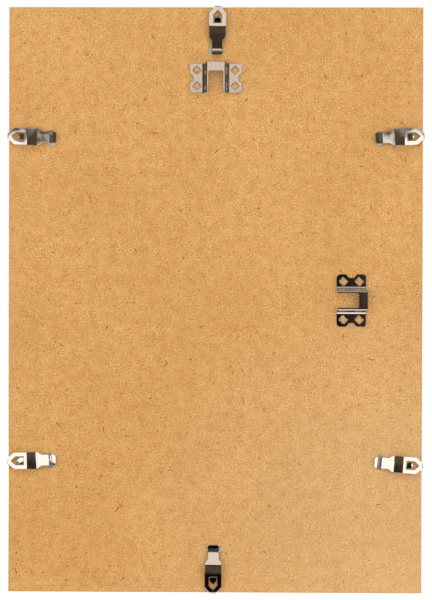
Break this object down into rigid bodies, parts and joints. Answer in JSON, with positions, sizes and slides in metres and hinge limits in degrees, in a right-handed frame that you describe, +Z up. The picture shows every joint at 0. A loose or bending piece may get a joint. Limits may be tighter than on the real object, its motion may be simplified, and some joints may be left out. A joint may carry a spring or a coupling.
{
  "type": "clip frame",
  "caption": "Frameless clip frame: fibreboard back, paper insert and glass front gripped by sprung steel clips at the edges, with saw-tooth hangers for portrait or landscape.",
  "frame": {"origin": "nail seat of the portrait hanger: the middle notch of its toothed bar, on the back face of the board", "axes": "+Z up along the long side as hung in portrait, +Y out of the back towards the wall, so the glass faces -Y; +X is left as seen from the back"},
  "size_m": [0.2996, 0.0093, 0.4224],
  "materials": {
    "fibreboard": "raw sanded MDF",
    "paper": "plain matt sheet",
    "glass": "clear float glass",
    "hanger_steel": "satin nickel plate",
    "clip_steel": "polished nickel plate"
  },
  "bodies": {
    "panel": {"backboard": "fibreboard", "insert_sheet": "paper", "front_glass": "glass", "portrait_hanger": "hanger_steel", "landscape_hanger": "hanger_steel"},
    "clip_top": {"clip_top": "clip_steel"},
    "clip_bottom": {"clip_bottom": "clip_steel"},
    "clip_left_upper": {"clip_left_upper": "clip_steel"},
    "clip_left_lower": {"clip_left_lower": "clip_steel"},
    "clip_right_upper": {"clip_right_upper": "clip_steel"},
    "clip_right_lower": {"clip_right_lower": "clip_steel"}
  },
  "joints": [
    {"name": "clip_top_release", "type": "hinge", "parent": "panel", "child": "clip_top", "pos_m": [-0.00126, -0.0058, 0.0432], "axis": [0.9999, 0, 0.0157], "range_deg": [0, 90], "stiffness_Nm_per_rad": 0.02, "springref_deg": -28.65},
    {"name": "clip_bottom_release", "type": "hinge", "parent": "panel", "child": "clip_bottom", "pos_m": [0.0011, -0.0058, -0.3728], "axis": [-1, 0, -0.007], "range_deg": [0, 90], "stiffness_Nm_per_rad": 0.02, "springref_deg": -28.65},
    {"name": "clip_left_upper_release", "type": "hinge", "parent": "panel", "child": "clip_left_upper", "pos_m": [0.14649, -0.0058, -0.04741], "axis": [0.0279, 0, -0.9996], "range_deg": [0, 90], "stiffness_Nm_per_rad": 0.02, "springref_deg": -28.65},
    {"name": "clip_left_lower_release", "type": "hinge", "parent": "panel", "child": "clip_left_lower", "pos_m": [0.14649, -0.0058, -0.2808], "axis": [-0.0297, 0, -0.9996], "range_deg": [0, 90], "stiffness_Nm_per_rad": 0.02, "springref_deg": -28.65},
    {"name": "clip_right_upper_release", "type": "hinge", "parent": "panel", "child": "clip_right_upper", "pos_m": [-0.14647, -0.0058, -0.04695], "axis": [0.0471, 0, 0.9989], "range_deg": [0, 90], "stiffness_Nm_per_rad": 0.02, "springref_deg": -28.65},
    {"name": "clip_right_lower_release", "type": "hinge", "parent": "panel", "child": "clip_right_lower", "pos_m": [-0.14641, -0.0058, -0.28331], "axis": [-0.0785, 0, 0.9969], "range_deg": [0, 90], "stiffness_Nm_per_rad": 0.02, "springref_deg": -28.65}
  ]
}
